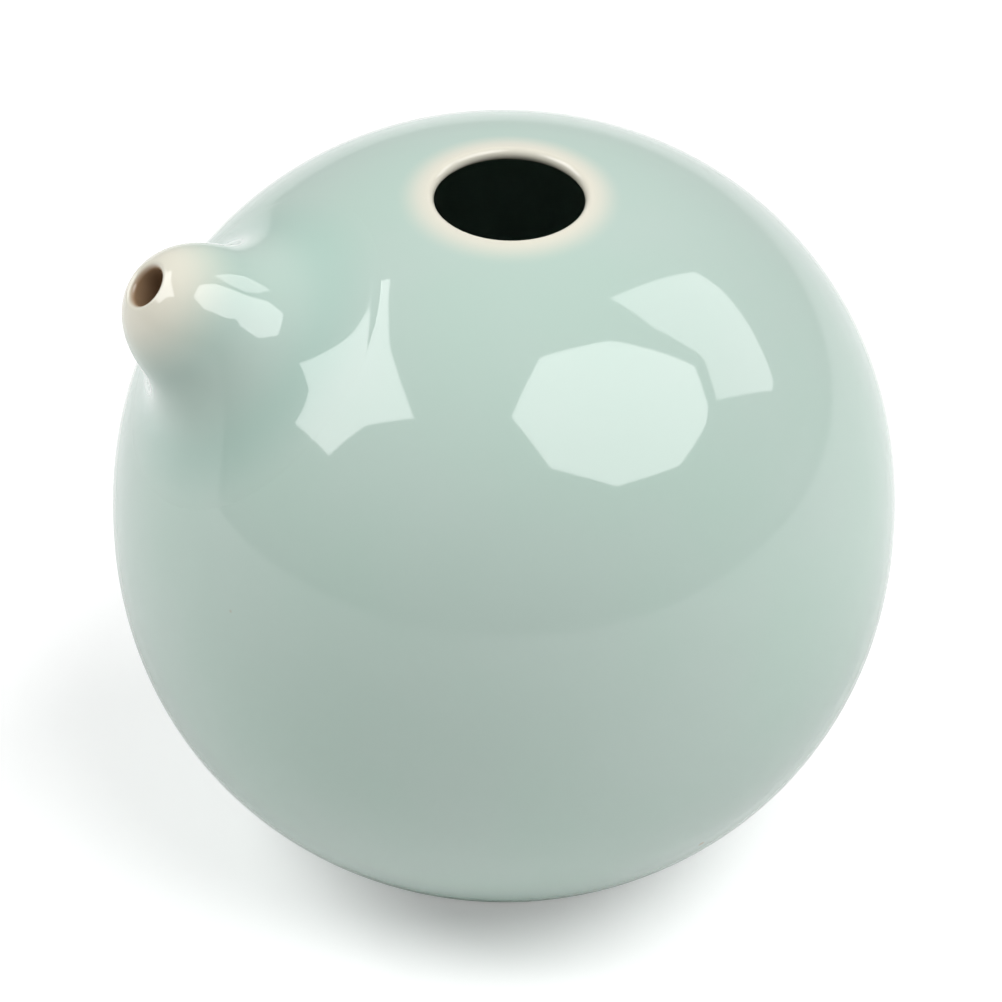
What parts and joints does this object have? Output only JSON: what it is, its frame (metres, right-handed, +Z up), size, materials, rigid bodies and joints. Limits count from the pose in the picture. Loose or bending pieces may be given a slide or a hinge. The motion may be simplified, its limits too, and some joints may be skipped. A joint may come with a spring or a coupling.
{
  "type": "water dropper",
  "caption": "Globular glazed porcelain water dropper with a filling mouth on top, a short round-ended spout with a narrow bore, and a foot ring.",
  "frame": {"origin": "on the globe's axis, at the underside of the foot ring", "axes": "+Z up through the mouth, spout towards -X in the XZ plane"},
  "size_m": [0.07, 0.07, 0.0673],
  "materials": {
    "celadon_porcelain": "glossy pale celadon glaze",
    "slip": "glazed over"
  },
  "bodies": {
    "root": {"lower_body": "celadon_porcelain", "upper_body": "celadon_porcelain", "spout": "celadon_porcelain", "seam_slip": "slip"}
  },
  "joints": []
}
